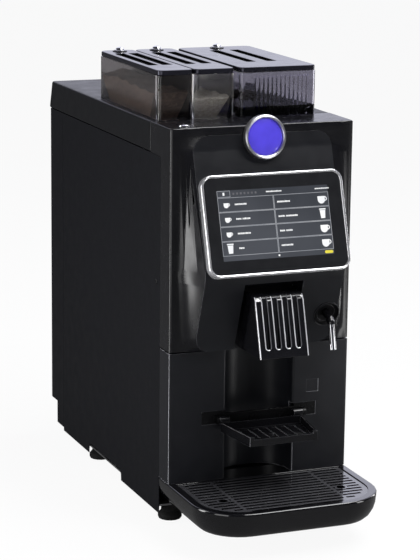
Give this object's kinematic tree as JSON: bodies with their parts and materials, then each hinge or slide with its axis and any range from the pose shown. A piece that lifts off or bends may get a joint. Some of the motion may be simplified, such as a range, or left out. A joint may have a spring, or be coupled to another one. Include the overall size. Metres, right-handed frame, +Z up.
{
  "type": "countertop coffee vending machine",
  "caption": "Countertop bean-to-cup coffee machine with hinged door and touch screen, ribbed spout, fold-up cup shelf, drip tray and lidded powder and bean hoppers.",
  "frame": {"origin": "on the floor, at the middle of the footprint with the drip tray in place", "axes": "+Z up, the front with the screen faces -Y, +X to the right of someone facing it"},
  "size_m": [0.3, 0.762, 0.7108],
  "materials": {
    "satin_black": "satin",
    "gloss_black": "gloss",
    "satin_plastic": "satin",
    "matte_black": "matte",
    "chrome": "polished",
    "steel": "brushed",
    "badge_blue": "gloss",
    "screen_black": "gloss",
    "smoked_clear": "clear",
    "rubber": "matte",
    "white_plastic": "satin"
  },
  "bodies": {
    "cabinet": {"base_plate": "steel", "foot_front_left": "rubber", "foot_front_right": "rubber", "foot_rear_left": "rubber", "foot_rear_right": "rubber", "left_side_panel": "satin_black", "right_side_panel": "satin_black", "rear_cover": "satin_black", "top_cover": "satin_plastic", "bulkhead": "steel", "lower_front_panel": "satin_plastic", "hinge_rod": "steel", "hinge_bracket_lower": "steel", "hinge_bracket_upper": "steel", "shelf_bracket": "matte_black", "grounds_bin": "matte_black", "powder_canister_left": "smoked_clear", "powder_canister_middle": "smoked_clear", "bean_hopper": "smoked_clear", "auger_motor_left": "steel", "auger_motor_middle": "steel", "mixing_bowl_left": "matte_black", "mixing_bowl_middle": "matte_black", "whipper_motor_left": "steel", "whipper_motor_middle": "steel", "grinder_body": "matte_black", "brew_unit_body": "matte_black", "boiler": "steel", "pump": "steel", "control_box": "steel", "mains_inlet": "matte_black", "water_inlet": "steel"},
    "door": {"door_shell": "gloss_black", "centre_panel": "satin_plastic", "display_housing": "matte_black", "screen_bezel": "chrome", "screen_glass": "screen_black", "badge_ring": "chrome", "badge_disc": "badge_blue", "nozzle_dish": "satin_plastic"},
    "door_lock": {"door_lock": "chrome"},
    "spout": {"spout_hood": "gloss_black"},
    "water_nozzle": {"nozzle_elbow": "matte_black", "nozzle_tube": "chrome"},
    "cup_shelf": {"cup_shelf": "matte_black"},
    "drip_tray": {"drip_tray": "gloss_black"},
    "drip_grille": {"drip_grille": "gloss_black"},
    "lid_left": {"lid_left": "gloss_black"},
    "lid_lock_left": {"lid_lock_left": "chrome"},
    "lid_middle": {"lid_middle": "gloss_black"},
    "lid_lock_middle": {"lid_lock_middle": "chrome"},
    "lid_bean": {"lid_bean": "gloss_black"},
    "lid_lock_bean": {"lid_lock_bean": "chrome"},
    "powder_auger_left": {"powder_auger_left": "white_plastic"},
    "whipper_left": {"whipper_left": "white_plastic"},
    "powder_auger_middle": {"powder_auger_middle": "white_plastic"},
    "whipper_middle": {"whipper_middle": "white_plastic"},
    "grinder_burr": {"grinder_burr": "steel"},
    "brew_piston": {"brew_piston": "white_plastic"}
  },
  "joints": [
    {"name": "door_swing", "type": "hinge", "parent": "cabinet", "child": "door", "pos_m": [0.1435, -0.1758, 0.45], "axis": [0, 0, 1], "range_deg": [0, 100]},
    {"name": "door_lock_turn", "type": "hinge", "parent": "door", "child": "door_lock", "pos_m": [-0.121, -0.188, 0.63], "axis": [0, 0, 1], "range_deg": [0, 90]},
    {"name": "spout_height", "type": "slide", "parent": "door", "child": "spout", "axis": [0, 0, 1], "range_m": [-0.02, 0.008]},
    {"name": "nozzle_swivel", "type": "hinge", "parent": "door", "child": "water_nozzle", "pos_m": [0.098, -0.23734, 0.336], "axis": [0, -0.9385, -0.3453], "range_deg": [-25, 25]},
    {"name": "shelf_fold", "type": "hinge", "parent": "cabinet", "child": "cup_shelf", "pos_m": [0, -0.217, 0.176], "axis": [-1, 0, 0], "range_deg": [0, 88]},
    {"name": "tray_slide", "type": "slide", "parent": "cabinet", "child": "drip_tray", "axis": [0, -1, 0], "range_m": [0, 0.2]},
    {"name": "grille_lift", "type": "slide", "parent": "drip_tray", "child": "drip_grille", "axis": [0, 0, 1], "range_m": [0, 0.06]},
    {"name": "lid_left_open", "type": "hinge", "parent": "cabinet", "child": "lid_left", "pos_m": [-0.1115, -0.13, 0.699], "axis": [1, 0, 0], "range_deg": [0, 75]},
    {"name": "lid_lock_left_turn", "type": "hinge", "parent": "lid_left", "child": "lid_lock_left", "pos_m": [-0.1115, 0.125, 0.707], "axis": [0, 0, 1], "range_deg": [0, 90]},
    {"name": "lid_middle_open", "type": "hinge", "parent": "cabinet", "child": "lid_middle", "pos_m": [-0.048, -0.13, 0.699], "axis": [1, 0, 0], "range_deg": [0, 75]},
    {"name": "lid_lock_middle_turn", "type": "hinge", "parent": "lid_middle", "child": "lid_lock_middle", "pos_m": [-0.048, 0.125, 0.707], "axis": [0, 0, 1], "range_deg": [0, 90]},
    {"name": "lid_bean_open", "type": "hinge", "parent": "cabinet", "child": "lid_bean", "pos_m": [0.058, -0.13, 0.699], "axis": [1, 0, 0], "range_deg": [0, 75]},
    {"name": "lid_lock_bean_turn", "type": "hinge", "parent": "lid_bean", "child": "lid_lock_bean", "pos_m": [0.058, 0.125, 0.707], "axis": [0, 0, 1], "range_deg": [0, 90]},
    {"name": "auger_left_spin", "type": "hinge", "parent": "cabinet", "child": "powder_auger_left", "pos_m": [-0.1115, 0, 0.592], "axis": [0, 1, 0], "continuous": true},
    {"name": "whipper_left_spin", "type": "hinge", "parent": "cabinet", "child": "whipper_left", "pos_m": [-0.1115, -0.089, 0.462], "axis": [0, 1, 0], "continuous": true},
    {"name": "auger_middle_spin", "type": "hinge", "parent": "cabinet", "child": "powder_auger_middle", "pos_m": [-0.048, 0, 0.592], "axis": [0, 1, 0], "continuous": true},
    {"name": "whipper_middle_spin", "type": "hinge", "parent": "cabinet", "child": "whipper_middle", "pos_m": [-0.048, -0.089, 0.462], "axis": [0, 1, 0], "continuous": true},
    {"name": "burr_spin", "type": "hinge", "parent": "cabinet", "child": "grinder_burr", "pos_m": [0.058, 0.0007, 0.51], "axis": [0, 0, 1], "continuous": true},
    {"name": "piston_stroke", "type": "slide", "parent": "cabinet", "child": "brew_piston", "axis": [0, 0, 1], "range_m": [-0.03, 0]}
  ]
}
